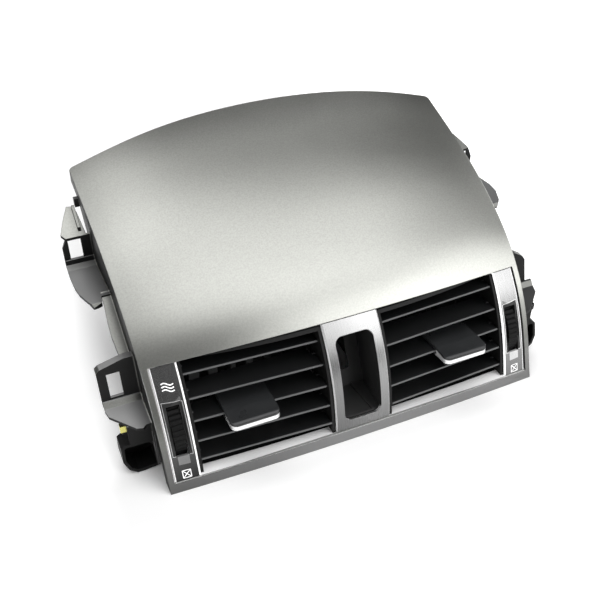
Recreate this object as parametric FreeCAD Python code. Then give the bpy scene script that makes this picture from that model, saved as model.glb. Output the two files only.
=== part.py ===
import FreeCAD, Part
import math
import os

# Centre dash air vent panel of a car, in millimetres.
# X runs across the car, Y from the vents towards the windscreen, Z up.
# The panel lies as it would on a table, on its front sill and the feet under its ducts.
# Shapes are drawn with Y = 0 at the front sill's bottom edge and are centred on export.

V = FreeCAD.Vector

# Panel
HALF_WIDTH = 138.3            # half width at the front sill
WIDEN = 0.025                 # half width gained for each mm rearward
PANEL_WALL = 2.5
SKIRT = 10.0                  # depth of the side and rear skirts below the face
CORNER_R = 3.5                # rear corners, seen from above
CORNER_BITE = 0.2             # lets the rounding cut meet both sides cleanly
SIDE_PROFILE = [(0.0, 0.0), (8.2, 22.0), (20.2, 49.0), (40.5, 76.6),
                (80.0, 104.8), (130.0, 125.0), (188.6, 140.8)]   # Y, Z of the face at its sides
BELOW_SILL = 12.0             # how far the face is carried below the table before it is trimmed
CROWN = 13.6                  # how far the middle stands out from the sides at the rear
CROWN_RUN = 35.0              # length over which the crown grows
CROWN_START = 4.0
REAR_BOW = 17.0               # extra length of the face at its middle
BOW_POWER = 1.5
CROWN_POWER_FRONT = 2.0
CROWN_POWER_REAR = 3.4

# Window for the trims and the vents, S is the distance along the side profile
S_SILL = 7.0
S_WINDOW_TOP = 87.0
WINDOW_BOW = 2.6              # the window's rear edge comes forward by this at the middle
TRIM_GAP = 0.3
LEDGE_TOP_Z = 6.8
LEDGE_WALL = 2.0
LEDGE_DEPTH = 9.5

# Trims
TRIM_OUTER_X = HALF_WIDTH - 3.9
TRIM_INNER_X = TRIM_OUTER_X - 17.9
BAR_HALF = 20.5
TRIM_TOP = -1.2               # trim faces sit a little below the panel's face
TRIM_WALL = 2.6
TRIM_LEG = 5.0
LEG_START = 4.0               # legs begin this far above the sill
TRIM_LEG_WALL = 1.4
TRIM_CHAMFER = 0.9
SWITCH_WIDTH = 27.6
SWITCH_LENGTH = 61.8
SWITCH_CORNER_R = 5.6
SWITCH_S = 45.2               # middle of the switch opening
POCKET_WALL = 1.5
POCKET_DEPTH = 30.0
PLUG_WIDTH = 12.0
PLUG_LENGTH = 24.0
PLUG_CORNER_R = 1.5
PLUG_UP = 10.0                # the plug's cut-out sits above the pocket's middle
PLUG_ASIDE = -1.5
RAMP_RISE = 16.0              # the pocket's lower end slopes inwards by this
RAMP_LIP = 3.0
RAMP_RIB = 1.5
RAMP_RIB_ENDS = (9.0, 3.0)    # X of the ramp's rib at its lower and upper end

# Duct housings
DUCT_WALL = 2.0
DUCT_INNER_X = BAR_HALF + 2.3
DUCT_OUTER_X = TRIM_INNER_X - 2.3
DUCT_FLOOR_Z = 6.0
DUCT_ROOF_Z = 78.0
DUCT_REAR_ROOF_Z = 52.0
ROOF_END_Y = 84.0
SLOPE_END_Y = 98.0
DUCT_END_Y = 129.0
FLANGE = 5.0
FLANGE_WALL = 2.0
SEAL_WIDTH = 4.0
SEAL_THICK = 5.0
RIB_WALL = 2.0
RIB_FRONT_Y = 16.0
EAR_LENGTH = 14.0
EAR_WIDTH = 16.0
SCREW_R = 1.25
SCREW_HEAD_R = 3.6
SCREW_HEAD = 2.4
SCREW_LENGTH = 12.0
SCREW_GAP = 0.05
EAR_HOLE_R = 1.8
BOSS_R = 4.0

# Running fits
PIN_R = 1.5
PIN_GAP = 0.05
PIN_LENGTH = 1.8
CRANK_R = 1.0
END_GAP = 0.3

# Horizontal vanes
VANE_COUNT = 5
VANE_FLOOR_GAP = 9.8          # lowest vane's front edge above the duct's floor
VANE_ROOF_GAP = 9.0           # highest vane's front edge below the duct's roof
VANE_FIRST_Z = DUCT_FLOOR_Z + VANE_FLOOR_GAP
VANE_PITCH = (DUCT_ROOF_Z - VANE_ROOF_GAP - VANE_FIRST_Z) / (VANE_COUNT - 1)
VANE_SKEW = 5.2                # outer ends stand this much further back than inner ends
VANE_RECESS_LOW = 3.8         # front edges lie this far inside the face
VANE_RECESS_HIGH = 8.0
VANE_FRONT = 12.0             # pivot to front edge at the middle of a vane
VANE_REAR = 9.0
VANE_WALL = 1.8
VANE_CRANK = 7.6
VANE_NOTCH = 3.4
NOTCH_WALL = 0.6              # left between a vane's pin and its notch
VANE_TILT = 8.0               # front edges point up by this at rest
LINK_WALL = 1.6
LINK_WIDTH = 3.0
LINK_EYE = 4.6
LINK_END_GAP = 0.7

# Vertical vanes
SIDE_VANE_PITCH = 0.15 * (DUCT_OUTER_X - DUCT_INNER_X)
SIDE_VANES_INWARD = 3
SIDE_VANES_OUTWARD = 2
SIDE_VANE_Y = 70.0
SIDE_VANE_FRONT = 10.5
SIDE_VANE_REAR = 11.0
SIDE_VANE_WALL = 1.6
SIDE_VANE_GAP = 0.5
SIDE_CRANK = 8.0
SIDE_NOTCH = 4.0
SIDE_NOTCH_HEIGHT = 6.4
SIDE_LINK_Z = 9.0
PEG_RADIUS = 16.5             # peg axis to the side vane's axis
PEG_R = 1.5
PEG_ARM = 2.2
PEG_REACH_UP = 17.0
PEG_REACH_DOWN = 14.5

# Knob on the middle vane
KNOB_X = DUCT_INNER_X + 0.5985 * (DUCT_OUTER_X - DUCT_INNER_X)
KNOB_WIDTH = 33.5
KNOB_NOSE = 27.0              # pivot to the knob's front
KNOB_TAIL = 11.6
KNOB_HALF_FRONT = 2.8
KNOB_HALF = 3.5
KNOB_CORNER_R = 4.5
KNOB_SLOT_GAP = 0.1
KNOB_SLOT_FRONT = 15.0
KNOB_TRIM_WALL = 1.6
KNOB_TRIM_BACK = 13.0
KNOB_TRIM_TOP = 1.4
FORK_GAP = 2.2
FORK_WALL = 2.4
FORK_END = 32.0
FORK_HALF = 1.8

# Thumbwheels
WHEEL_S = 42.5
WHEEL_R = 26.0
WHEEL_PROUD = 1.3             # above the trim's face
WHEEL_WIDTH = 7.6
WHEEL_RIM = 5.0
WHEEL_WEB = 2.4
WHEEL_RIBS = 44
WHEEL_RIB = 0.8               # depth of the grip's notches
WHEEL_SLOT_GAP = 0.7          # round the wheel inside the strip
AXLE_R = 2.5
HUB_R = 5.5
WHEEL_SLOT_WIDTH = 8.8
WHEEL_SLOT_LENGTH = 35.0
WHEEL_SLOT_DEPTH = 12.0
DISH_WIDTH = 11.4
DISH_LENGTH = 50.0
DISH_DEPTH = 1.5

# Damper
FLAP_Y = 105.5
FLAP_HALF = 21.6
FLAP_WALL = 2.0
FLAP_SIDE_GAP = 0.6
FLAP_SHAFT_R = 2.5
CRANK_ARM = 14.0
CRANK_ANGLE = 50.0            # of the wheel's and the flap's cranks at rest, from +Y
LEVER_WALL = 2.4
LEVER_WIDTH = 8.0
ROD_WALL = 2.0
ROD_WIDTH = 4.0
ROD_EYE = 6.0
ROD_PIN_R = 1.5
ROD_GAP = 0.6

# Side brackets, moulded with the panel. Reaches are outwards from the panel's half width.
BRACKET_WALL = 2.0
BRACKET_BITE = 1.2            # depth at which the lower bracket starts inside the panel's side
BRACKET_FAR = 40.0            # beyond every bracket's reach
WEB_INSET = 0.2               # the webs hang this far inside the panel's side face
WEB = [(27, 40), (27, 2), (46, 2), (60, 46), (65, 60.5), (98, 85), (106, 89), (147, 86),
       (147, 90), (166, 116), (178, 132), (130, 118), (96, 104), (60, 86), (44, 70), (33, 52)]

UPPER_Y = 145.0               # front of the upper window plate
UPPER_PLATE = [(22.6, 87), (23.4, 89), (23.4, 105.5), (20.0, 113.4)]   # reach, Z of its outer edge
UPPER_HOLE = (10.3, 19.1, 91.6, 111.6)
SCOOP = [(146.5, 96), (146, 91.5), (140, 89.3), (98, 90.4), (94.5, 88.8), (92.5, 89.6),
         (95.5, 92.6), (138, 91.4), (143, 93), (144, 96)]
SCOOP_PLAN = [(23.4, 150), (23.6, 132), (23.0, 118), (21.5, 109), (18.2, 99.7), (15.4, 93.6),
              (9.6, 95.2), (8.6, 102)]                              # reach, Y of its outer edge
SHELF_PLAN = [(20.0, 145), (22.6, 148), (19.0, 156), (13.8, 165.5), (10.2, 165), (7.9, 161), (6.0, 146)]
RIGHT_SCOOP_PLAN = [(23.4, 150), (26.4, 134), (27.8, 121), (26.8, 111), (21.5, 98.4), (16.6, 92.9),
                    (9.6, 95.2), (8.6, 102)]
RIGHT_SHELF_PLAN = [(20.0, 145), (19.4, 147), (14.2, 156), (11.5, 160), (8.2, 160), (6.0, 146)]
SHELF_RISE = 12.0
SHELF_LENGTH = 20.5
FIN_REACH = 8.4
FIN_HEIGHT = 2.0
FIN_START = 2.0
FIN_BITE = 1.0                # depth of the fin's foot inside the shelf
STUD = (7.4, 168.5, 172.0, 121.5, 128.0)                            # reach, Y, Y, Z, Z
FLANGE_STEP = (-1.2, 1.7)                                           # Y, Z across the side flange

FLANGE_LINE = [(65.0, 62.8), (98.0, 86.9), (107.0, 91.2)]           # Y, Z of the side flange's underside
FLANGE_PLAN = [(8.1, 62), (8.7, 70), (9.7, 80), (9.5, 88), (8.6, 98), (8.5, 107)]

LOWER_LEAN = [(50.0, 44), (56.4, 78)]                               # Y, Z of the lower plate's front
LOWER_PLATE = [(26.4, 44), (26.4, 69.5), (24.0, 71.5), (7.7, 75.6)]
LOWER_HOLE = (11.7, 20.4, 49.5, 67.0)
RIGHT_LOWER_PLATE = [(21.2, 44), (19.6, 66.5), (17.5, 69.5), (11.0, 73.5)]
RIGHT_LOWER_HOLE = (3.0, 9.8, 49.5, 67.0)                           # nearer the panel than on the left
LOWER_TOP_DEPTH = 4.0
WING = [(51.6, 48), (49.8, 48), (47, 44.5), (24, 40), (24, 38), (48.4, 42.4)]
WING_PLAN = [(26.4, 60), (26.2, 46), (25.0, 41), (10.7, 27), (6.7, 26), (4.2, 28)]

WALL_Y = 31.0
WALL_REACH = 16.2
WALL_TOP_Z = 40.0
BRACE_REACH = 10.2
CLIP_RIB_Y = 35.0
CLIP_RIB_REACH = 19.4
CLIP_RIB_Z = 30.0
CLIP_RIB_TOP_Z = 41.5
CLIP_SHEET = 0.8
CLIP_GAP = 0.1
CLIP_LENGTH = 3.2
CLIP_Z = 32.8
CLIP_WIDTH = 5.4

BOX_OUTLINE = [(0.5, 19.8), (3.5, 22.3), (19.9, 22.8), (22.5, 20.8), (22.9, 10.5), (19.9, 4.0), (14.9, 0.6),
               (9.9, 0.6), (0.5, 1.6)]
BOX_FRONT_Y = 26.0
BOX_BACK_Y = 44.0
BOX_LEAN = 6.0                # the box's front leans back by this at its top

STATIONS = (-1.0, -0.85, -0.65, -0.4, 0.0, 0.4, 0.65, 0.85, 1.0)
FACE_STEPS = 12


def box(x0, x1, y0, y1, z0, z1):
    return Part.makeBox(x1 - x0, y1 - y0, z1 - z0, V(x0, y0, z0))


def rod_x(radius, x0, x1, y, z):
    return Part.makeCylinder(radius, x1 - x0, V(x0, y, z), V(1, 0, 0))


def rod_z(radius, z0, z1, x, y):
    return Part.makeCylinder(radius, z1 - z0, V(x, y, z0), V(0, 0, 1))


def prism_x(outline, x0, x1):
    """Y, Z outline carried from x0 to x1"""
    corners = [V(x0, y, z) for y, z in outline]
    face = Part.Face(Part.makePolygon(corners + corners[:1]))
    return face.extrude(V(x1 - x0, 0, 0))


def prism_z(outline, z0, z1):
    """X, Y outline carried from z0 to z1"""
    corners = [V(x, y, z0) for x, y in outline]
    face = Part.Face(Part.makePolygon(corners + corners[:1]))
    return face.extrude(V(0, 0, z1 - z0))


def bar_between(start, end, width, x0, x1):
    """Flat bar with round ends in a plane across X, start and end are Y, Z"""
    dy, dz = end[0] - start[0], end[1] - start[1]
    length = math.hypot(dy, dz)
    ny, nz = -dz / length * width / 2, dy / length * width / 2
    middle = prism_x([(start[0] + ny, start[1] + nz), (end[0] + ny, end[1] + nz),
                      (end[0] - ny, end[1] - nz), (start[0] - ny, start[1] - nz)], x0, x1)
    return middle.fuse([rod_x(width / 2, x0, x1, *start), rod_x(width / 2, x0, x1, *end)])


def fused(shapes):
    return shapes[0].fuse(shapes[1:]).removeSplitter()


def prism_y(outline, y0, y1):
    """X, Z outline carried from y0 to y1"""
    corners = [V(x, y0, z) for x, z in outline]
    face = Part.Face(Part.makePolygon(corners + corners[:1]))
    return face.extrude(V(0, y1 - y0, 0))


def turned(shape, degrees, y, z):
    """Copy turned about the X axis line through y, z"""
    copy = shape.copy()
    copy.rotate(V(0, y, z), V(1, 0, 0), degrees)
    return copy


def mirrored(shape):
    return shape.mirror(V(0, 0, 0), V(1, 0, 0))


def rounded(shape, radius, chosen):
    edges = [edge for edge in shape.Edges if chosen(edge)]
    return shape.makeFillet(radius, edges)


def runs_along(edge, axis):
    if len(edge.Vertexes) != 2:
        return False
    span = edge.Vertexes[1].Point - edge.Vertexes[0].Point
    return span.Length > 1e-6 and abs(span.dot(axis)) / span.Length > 0.999


# The panel's face

PROFILE = Part.BSplineCurve()
PROFILE.interpolate([V(0, y, z) for y, z in SIDE_PROFILE])
SIDE_LENGTH = PROFILE.length()


def profile_at(s):
    """Point and unit tangent at distance s along the side profile, straight past its ends"""
    inside = min(max(s, 0.0), SIDE_LENGTH)
    parameter = PROFILE.parameterAtDistance(inside, PROFILE.FirstParameter)
    tangent = PROFILE.tangent(parameter)[0]
    return PROFILE.value(parameter) + tangent * (s - inside), tangent


def crown_at(s):
    return CROWN * (1 - math.exp(-(max(s, 0.0) + CROWN_START) / CROWN_RUN))


def face_point(u, s, offset):
    """Point of the face, u runs from -1 at the left side to 1, offset outwards"""
    base, tangent = profile_at(s)
    share = min(max(s / SIDE_LENGTH, 0.0), 1.0)
    power = CROWN_POWER_FRONT + (CROWN_POWER_REAR - CROWN_POWER_FRONT) * share
    rise = crown_at(s) * (1 - abs(u) ** power) + offset
    y = base.y - tangent.z * rise
    z = base.z + tangent.y * rise
    return V(u * (HALF_WIDTH + WIDEN * y), y, z)


def face_normal(s):
    tangent = profile_at(s)[1]
    return V(0, -tangent.z, tangent.y)


def face_line(u, high, s_from, s_to):
    shares = [step / FACE_STEPS for step in range(FACE_STEPS + 1)]
    points = [face_point(u, s_from + (s_to - s_from) * share, high) for share in shares]
    curve = Part.BSplineCurve()
    curve.interpolate(Points=points, Parameters=shares)
    return curve.toShape()


def slab(high, low, s_from, s_to, side_inset=0.0, rear_inset=None):
    """Solid between two offsets of the face. With rear_inset it ends at the panel's rear edge."""
    sections = []
    for station in STATIONS:
        u = station * (1 - side_inset / HALF_WIDTH)
        end = s_to - WINDOW_BOW * (1 - u * u)
        if rear_inset is not None:
            end = SIDE_LENGTH + REAR_BOW * (1 - u * u) ** BOW_POWER - rear_inset
        top = face_line(u, high, s_from, end)
        bottom = face_line(u, low, s_from, end)
        front = Part.makeLine(top.Vertexes[0].Point, bottom.Vertexes[0].Point)
        rear = Part.makeLine(top.Vertexes[-1].Point, bottom.Vertexes[-1].Point)
        sections.append(Part.Wire([top, rear, bottom, front]))
    return Part.makeLoft(sections, True, False)


BIG = 400.0
TABLE = box(-BIG, BIG, -BIG, BIG, -BIG, 0)


def corner_tool(sign):
    """What rounds a rear corner: a block less a cylinder along the corner's edge"""
    corner = face_point(sign, SIDE_LENGTH, 0)
    block = box(-CORNER_R, CORNER_R, -CORNER_R, CORNER_R, -2 * SKIRT, SKIRT)
    core = rod_z(CORNER_R, -2 * SKIRT, SKIRT, -CORNER_R + CORNER_BITE, -CORNER_R + CORNER_BITE)
    tool = block.cut(core)
    lean = face_normal(SIDE_LENGTH)
    tool.rotate(V(0, 0, 0), V(1, 0, 0), math.degrees(math.atan2(-lean.y, lean.z)))
    tool.translate(V(abs(corner.x), corner.y, corner.z))
    return tool if sign > 0 else mirrored(tool)


def panel_shell():
    outer = slab(0, -SKIRT, -BELOW_SILL, 0, 0, 0)
    outer = outer.cut(corner_tool(1)).cut(corner_tool(-1))
    inner = slab(-PANEL_WALL, -SKIRT - 8, -BELOW_SILL - 4, 0, PANEL_WALL, PANEL_WALL)
    return outer.cut(inner).cut(TABLE)


def window():
    reach = TRIM_OUTER_X + TRIM_GAP
    opening = slab(SKIRT, -SKIRT - 4, S_SILL, S_WINDOW_TOP)
    return opening.common(box(-reach, reach, -BIG, BIG, -BIG, BIG))


def sill_ledge():
    """Shelf behind the sill that closes the window's lower edge"""
    return ledge_band(LEDGE_DEPTH, LEDGE_TOP_Z - LEDGE_WALL, LEDGE_TOP_Z)


def ledge_band(depth, low, high):
    """Band behind the face between two heights"""
    reach = TRIM_OUTER_X + TRIM_GAP + 1
    band = box(-reach, reach, -20, 60, low, high)
    return band.common(slab(-PANEL_WALL / 2, -depth, -BELOW_SILL, S_WINDOW_TOP))


def screw_places():
    y = ROOF_END_Y + EAR_LENGTH / 2
    middle = (DUCT_INNER_X + DUCT_OUTER_X) / 2
    reach = (DUCT_OUTER_X - DUCT_INNER_X) * 0.3
    return [(sign * (middle + side * reach), y) for sign in (-1, 1) for side in (-1, 1)]


def panel_bosses():
    """Screw bosses that hang from the panel to the housings' ears"""
    under_face = slab(-PANEL_WALL / 2, -BIG / 4, 40, 160)
    bosses = []
    for x, y in screw_places():
        boss = rod_z(BOSS_R, DUCT_ROOF_Z + DUCT_WALL, 130, x, y)
        pilot = rod_z(SCREW_R + SCREW_GAP, DUCT_ROOF_Z, DUCT_ROOF_Z + SCREW_LENGTH, x, y)
        bosses.append(boss.common(under_face).cut(pilot))
    return bosses


def side_x(y):
    """X of the panel's right side"""
    return HALF_WIDTH + WIDEN * y


def outwards(outline, root):
    """Reach, value pairs as X, value pairs, closed along X = root"""
    corners = [(HALF_WIDTH + reach, value) for reach, value in outline]
    return [(root, outline[0][1])] + corners + [(root, outline[-1][1])]


def side_web():
    """Wall under the panel's right side that carries both brackets"""
    start = HALF_WIDTH - WEB_INSET - BRACKET_WALL
    web = prism_x(WEB, start, start + BRACKET_WALL)
    web.rotate(V(HALF_WIDTH, 0, 0), V(0, 0, 1), -math.degrees(math.atan(WIDEN)))
    return web


def hole_through(sizes, y):
    near, far, low, high = sizes
    return box(HALF_WIDTH + near, HALF_WIDTH + far, y - 10, y + 10, low, high)


def upper_bracket(scoop_plan, shelf_plan):
    """Clip bracket by the rear, drawn for the right side: window plate, scoop, sloping shelf, fin and stud"""
    root = side_x(UPPER_Y) - BRACKET_WALL
    far = HALF_WIDTH + BRACKET_FAR
    plate = prism_y(outwards(UPPER_PLATE, root), UPPER_Y, UPPER_Y + BRACKET_WALL)
    plate = plate.cut(hole_through(UPPER_HOLE, UPPER_Y))
    scoop = prism_x(SCOOP, root, far).common(prism_z(outwards(scoop_plan, root), -BIG, BIG))
    top = UPPER_PLATE[-1][1]
    end = UPPER_Y + SHELF_LENGTH
    shelf = prism_x([(UPPER_Y, top - BRACKET_WALL), (end, top + SHELF_RISE - BRACKET_WALL),
                     (end, top + SHELF_RISE), (UPPER_Y, top)], root, far)
    shelf = shelf.common(prism_z(outwards(shelf_plan, root), -BIG, BIG))
    fin_x = HALF_WIDTH + FIN_REACH
    fin_run = min(SHELF_LENGTH, shelf_plan[-3][1] - UPPER_Y) - FIN_BITE
    slope = SHELF_RISE / SHELF_LENGTH
    fin = prism_x([(UPPER_Y + FIN_START, top - FIN_BITE),
                   (UPPER_Y + 2 * FIN_START, top + 2 * FIN_START * slope + FIN_HEIGHT),
                   (UPPER_Y + fin_run, top + fin_run * slope + FIN_HEIGHT),
                   (UPPER_Y + fin_run, top + fin_run * slope - FIN_BITE)], fin_x, fin_x + BRACKET_WALL)
    reach, y0, y1, z0, z1 = STUD
    stud = box(side_x(y0) - BRACKET_BITE, HALF_WIDTH + reach, y0, y1, z0, z1)
    return [plate, scoop, shelf, fin, stud]


def side_flange():
    """Narrow flange along the web between the brackets"""
    root = side_x(FLANGE_LINE[0][0]) - BRACKET_WALL
    below = FLANGE_LINE
    above = [(y + FLANGE_STEP[0], z + FLANGE_STEP[1]) for y, z in reversed(FLANGE_LINE)]
    band = prism_x(below + above, root, HALF_WIDTH + BRACKET_FAR)
    return band.common(prism_z(outwards(FLANGE_PLAN, root), -BIG, BIG))


def lower_bracket(plate_edge, hole):
    """Clip bracket by the vents, drawn for the right side: window plate, wing, wall, clip rib and open box"""
    root = side_x(BOX_FRONT_Y) - BRACKET_BITE
    far = HALF_WIDTH + BRACKET_FAR
    (y0, z0), (y1, z1) = LOWER_LEAN
    lean = prism_x([(y0, z0), (y1, z1), (y1 + BRACKET_WALL, z1), (y0 + BRACKET_WALL, z0)], root, far)
    face = prism_y(outwards(plate_edge, root), -BIG, BIG)
    rim = plate_edge[1:] + [(root - HALF_WIDTH, plate_edge[-1][1])]
    rim = rim + [(reach, z - BRACKET_WALL) for reach, z in reversed(rim)]
    rim_y = y0 + (y1 - y0) * (plate_edge[1][1] - z0) / (z1 - z0)
    shelf = prism_y([(HALF_WIDTH + reach, z) for reach, z in rim], rim_y + BRACKET_WALL / 2,
                    rim_y + BRACKET_WALL + LOWER_TOP_DEPTH)
    plate = lean.common(face).cut(hole_through(hole, y0))
    wing = prism_x(WING, root, far).common(prism_z(outwards(WING_PLAN, root), -BIG, BIG))
    box_top = max(z for reach, z in BOX_OUTLINE)
    wall = box(root, HALF_WIDTH + WALL_REACH, WALL_Y, WALL_Y + BRACKET_WALL, box_top - BRACKET_WALL, WALL_TOP_Z)
    brace_x = HALF_WIDTH + BRACE_REACH
    rib = box(brace_x, HALF_WIDTH + CLIP_RIB_REACH, CLIP_RIB_Y, CLIP_RIB_Y + BRACKET_WALL, CLIP_RIB_Z,
              CLIP_RIB_TOP_Z)
    brace = box(brace_x, brace_x + BRACKET_WALL, WALL_Y + BRACKET_WALL / 2, CLIP_RIB_Y + BRACKET_WALL / 2,
                CLIP_RIB_Z, CLIP_RIB_TOP_Z)
    corners = [V(x, BOX_FRONT_Y, z) for x, z in outwards(BOX_OUTLINE, root)]
    frame = Part.Face(Part.makePolygon(corners + corners[:1]))
    hollow = frame.makeOffset2D(-BRACKET_WALL)
    depth = BOX_BACK_Y - BOX_FRONT_Y
    clip_box = frame.extrude(V(0, depth, 0)).cut(hollow.extrude(V(0, depth - BRACKET_WALL, 0)))
    lean_cut = prism_x([(-BIG, -BIG), (BOX_FRONT_Y, -BIG), (BOX_FRONT_Y, 0), (BOX_FRONT_Y + BOX_LEAN, box_top),
                        (BOX_FRONT_Y + BOX_LEAN, BIG), (-BIG, BIG)], root - BRACKET_FAR, far)
    return [plate, shelf, wing, wall, rib, brace, clip_box.cut(lean_cut)]


def top_panel():
    shell = panel_shell().cut(window())
    both = [side_web(), side_flange()]
    right = both + upper_bracket(RIGHT_SCOOP_PLAN, RIGHT_SHELF_PLAN)
    right += lower_bracket(RIGHT_LOWER_PLATE, RIGHT_LOWER_HOLE)
    left = both + upper_bracket(SCOOP_PLAN, SHELF_PLAN) + lower_bracket(LOWER_PLATE, LOWER_HOLE)
    left = [mirrored(piece) for piece in left]
    return fused([shell, sill_ledge()] + panel_bosses() + right + left)


# Trims

def trim_strip():
    """Right trim strip with its dished thumbwheel slot"""
    low, high = S_SILL + TRIM_GAP, S_WINDOW_TOP - TRIM_GAP
    plate = slab(TRIM_TOP, TRIM_TOP - TRIM_WALL, low, high)
    strip = plate.common(box(TRIM_INNER_X, TRIM_OUTER_X, -BIG, BIG, -BIG, BIG))
    along = [e for e in strip.Edges
             if e.Length > 60 and is_top_edge(e)]
    strip = strip.makeChamfer(TRIM_CHAMFER, along)
    legs = slab(TRIM_TOP - TRIM_WALL + 0.01, TRIM_TOP - TRIM_WALL - TRIM_LEG, low + LEG_START, high)
    inner_leg = legs.common(box(TRIM_INNER_X + 0.6, TRIM_INNER_X + 0.6 + TRIM_LEG_WALL, -BIG, BIG, -BIG, BIG))
    outer_leg = legs.common(box(TRIM_OUTER_X - TRIM_LEG_WALL, TRIM_OUTER_X, -BIG, BIG, -BIG, BIG))
    strip = fused([strip, inner_leg, outer_leg])
    return strip.cut(wheel_dish()).cut(wheel_slot()).cut(ledge_room())


def ledge_room():
    """Keeps a trim's lower end clear of the sill's ledge"""
    return ledge_band(LEDGE_DEPTH + TRIM_GAP, 0, LEDGE_TOP_Z + TRIM_GAP)


def is_top_edge(edge):
    """True for an edge on the trims' outer face"""
    point = edge.valueAt((edge.FirstParameter + edge.LastParameter) / 2)
    u = point.x / (HALF_WIDTH + WIDEN * point.y)
    s = WHEEL_S
    nearest = min((face_point(u, s + step, TRIM_TOP).distanceToPoint(point) for step in range(-12, 13)))
    return nearest < TRIM_WALL / 2


def trim_mid_x():
    return (TRIM_INNER_X + TRIM_OUTER_X) / 2


def on_trim(s, offset):
    """Point on the strip's middle line, offset outwards from its face"""
    return face_point(trim_mid_x() / HALF_WIDTH, s, TRIM_TOP + offset)


def wheel_centre():
    point = on_trim(WHEEL_S, WHEEL_PROUD - WHEEL_R)
    return point.y, point.z


def wheel_slot():
    middle = on_trim(WHEEL_S, 0)
    normal = face_normal(WHEEL_S)
    half_width = WHEEL_SLOT_WIDTH / 2
    half_length = WHEEL_SLOT_LENGTH / 2
    slot = box(-half_width, half_width, -half_length, half_length, -WHEEL_SLOT_DEPTH, WHEEL_SLOT_DEPTH)
    slot.rotate(V(0, 0, 0), V(1, 0, 0), math.degrees(math.atan2(-normal.y, normal.z)))
    slot.translate(V(trim_mid_x(), middle.y, middle.z))
    round_wheel = rod_x(WHEEL_R + WHEEL_SLOT_GAP, trim_mid_x() - half_width, trim_mid_x() + half_width,
                        *wheel_centre())
    return slot.fuse(round_wheel)


def wheel_dish():
    """Shallow dish around the slot: a short length of a large cylinder"""
    radius = (DISH_LENGTH ** 2 / 4 + DISH_DEPTH ** 2) / (2 * DISH_DEPTH)
    centre = on_trim(WHEEL_S, radius - DISH_DEPTH)
    half = DISH_WIDTH / 2
    return rod_x(radius, trim_mid_x() - half, trim_mid_x() + half, centre.y, centre.z)


def on_centre(shape, s, offset):
    """Lays a shape drawn flat, its front towards -Y, on the centre line at s"""
    normal = face_normal(s)
    shape.rotate(V(0, 0, 0), V(1, 0, 0), math.degrees(math.atan2(-normal.y, normal.z)))
    middle = face_point(0, s, offset)
    shape.translate(V(0, middle.y, middle.z))
    return shape


def rounded_block(width, length, depth, radius, s, offset, aside=0.0):
    """Rounded rectangle on the centre line at s, carried inwards by depth from the offset"""
    block = box(aside - width / 2, aside + width / 2, -length / 2, length / 2, -depth, 0)
    block = rounded(block, radius, lambda e: runs_along(e, V(0, 0, 1)))
    return on_centre(block, s, offset)


def pocket_ramp(offset):
    """Slope with a slanting rib inside the pocket's lower end"""
    low = -SWITCH_LENGTH / 2
    half = SWITCH_WIDTH / 2
    def wedge(lift):
        return prism_x([(low, -RAMP_LIP + lift), (low, -POCKET_DEPTH), (low + RAMP_RISE + lift, -POCKET_DEPTH)],
                       -half, half)
    first, last = RAMP_RIB_ENDS
    rib = prism_z([(first, low), (first + RAMP_RIB, low), (last + RAMP_RIB, low + RAMP_RISE),
                   (last, low + RAMP_RISE)], -POCKET_DEPTH, 0)
    ramp = fused([wedge(0), rib.common(wedge(RAMP_RIB))])
    return on_centre(ramp, SWITCH_S, offset)


def centre_trim_bar():
    low, high = S_SILL + TRIM_GAP, S_WINDOW_TOP - TRIM_GAP
    plate = slab(TRIM_TOP, TRIM_TOP - TRIM_WALL, low, high)
    bar = plate.common(box(-BAR_HALF, BAR_HALF, -BIG, BIG, -BIG, BIG))
    along = [e for e in bar.Edges if e.Length > 60 and is_top_edge(e)]
    bar = bar.makeChamfer(TRIM_CHAMFER, along)
    opening = rounded_block(SWITCH_WIDTH, SWITCH_LENGTH, 20, SWITCH_CORNER_R, SWITCH_S, 8)
    legs = slab(TRIM_TOP - TRIM_WALL + 0.01, TRIM_TOP - TRIM_WALL - TRIM_LEG, low + LEG_START, high)
    sides = [legs.common(box(x, x + TRIM_LEG_WALL, -BIG, BIG, -BIG, BIG))
             for x in (-BAR_HALF + 0.6, BAR_HALF - 0.6 - TRIM_LEG_WALL)]
    return fused([bar] + sides).cut(opening).cut(ledge_room())


def centre_pocket():
    """Socket behind the switch opening, with a cut-out for the loom plug"""
    start = TRIM_TOP - TRIM_WALL
    outer = rounded_block(SWITCH_WIDTH + 2 * POCKET_WALL, SWITCH_LENGTH + 2 * POCKET_WALL, POCKET_DEPTH,
                          SWITCH_CORNER_R + POCKET_WALL, SWITCH_S, start)
    hollow = rounded_block(SWITCH_WIDTH, SWITCH_LENGTH, POCKET_DEPTH - POCKET_WALL, SWITCH_CORNER_R,
                           SWITCH_S, start)
    plug = rounded_block(PLUG_WIDTH, PLUG_LENGTH, POCKET_DEPTH + 5, PLUG_CORNER_R, SWITCH_S + PLUG_UP, start,
                         PLUG_ASIDE)
    room = rounded_block(SWITCH_WIDTH + POCKET_WALL, SWITCH_LENGTH + POCKET_WALL, POCKET_DEPTH - POCKET_WALL / 2,
                         SWITCH_CORNER_R + POCKET_WALL / 2, SWITCH_S, start)
    bar = slab(SKIRT, TRIM_TOP - TRIM_WALL - TRIM_GAP, S_SILL, S_WINDOW_TOP)
    pocket = outer.cut(hollow).fuse(pocket_ramp(start).common(room)).removeSplitter()
    return pocket.cut(plug).cut(bar)


# Duct housings

def duct_outline(grow):
    return [(-20, DUCT_FLOOR_Z - grow), (-20, DUCT_ROOF_Z + grow), (ROOF_END_Y, DUCT_ROOF_Z + grow),
            (SLOPE_END_Y, DUCT_REAR_ROOF_Z + grow), (DUCT_END_Y, DUCT_REAR_ROOF_Z + grow),
            (DUCT_END_Y, DUCT_FLOOR_Z - grow)]


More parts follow.
